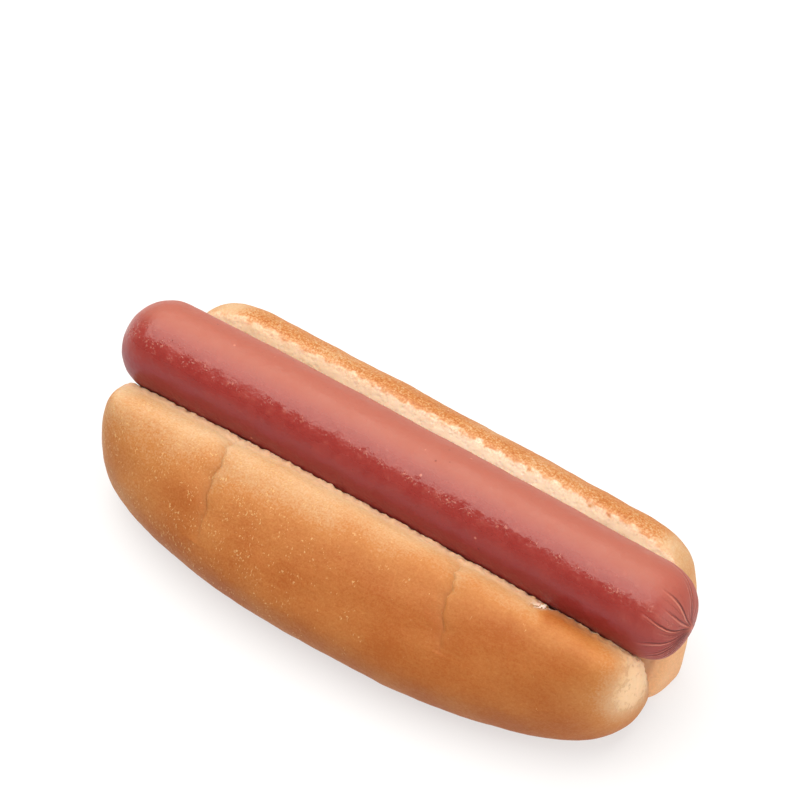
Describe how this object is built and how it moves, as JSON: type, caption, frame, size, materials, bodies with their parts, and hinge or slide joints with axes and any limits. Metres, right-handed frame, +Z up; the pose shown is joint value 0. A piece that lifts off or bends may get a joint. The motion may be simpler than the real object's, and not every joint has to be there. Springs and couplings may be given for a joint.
{
  "type": "hot dog",
  "caption": "Plain hot dog: a frankfurter lying in a soft bun cut along its top, hinged along its foot and resting flat.",
  "frame": {"origin": "centre of the bounding box, on the flat underside of the bun", "axes": "+X along the bun towards the puckered end of the frankfurter, -Y towards the thick front half of the bun, +Z up"},
  "size_m": [0.1562, 0.064, 0.0438],
  "materials": {
    "crust": "soft golden brown bread crust, matte to satin",
    "frank_skin": "smooth cooked sausage skin, satin"
  },
  "bodies": {
    "root": {"bun": "crust", "frankfurter": "frank_skin"}
  },
  "joints": []
}
